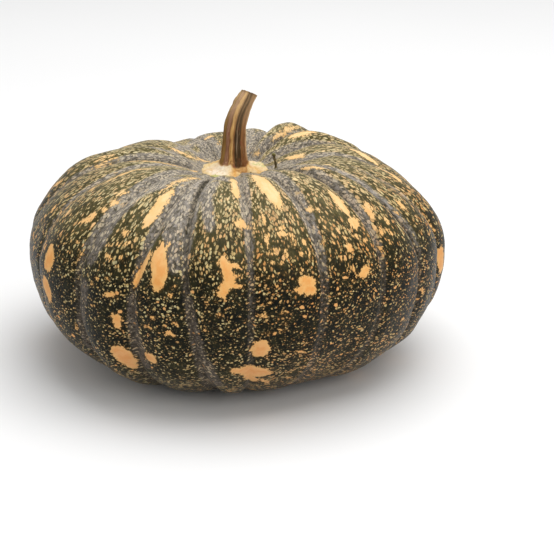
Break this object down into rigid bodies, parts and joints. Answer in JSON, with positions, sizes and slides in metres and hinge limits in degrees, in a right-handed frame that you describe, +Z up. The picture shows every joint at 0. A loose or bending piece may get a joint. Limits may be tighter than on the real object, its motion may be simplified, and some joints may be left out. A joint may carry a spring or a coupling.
{
  "type": "pumpkin",
  "caption": "Whole flat-topped, ribbed pumpkin with a dark mottled rind and a short curved woody stem, resting on its base.",
  "frame": {"origin": "centre of the footprint box on the ground plane the fruit rests on", "axes": "+Z up along the fruit's growth axis, -Y the front seen in the picture, +X to the right of that view"},
  "size_m": [0.269, 0.269, 0.1749],
  "materials": {
    "rind": "satin waxy rind, near-black green with cream to orange flecks and blotches, grey-mauve in the grooves",
    "stalk": "matt dry stalk, tan ridges with dark brown grooves and a pale yellow foot",
    "dry_stub": "matt, dry, dark olive brown"
  },
  "bodies": {
    "root": {"fruit": "rind", "stem": "stalk", "dried_tendril": "dry_stub"}
  },
  "joints": []
}
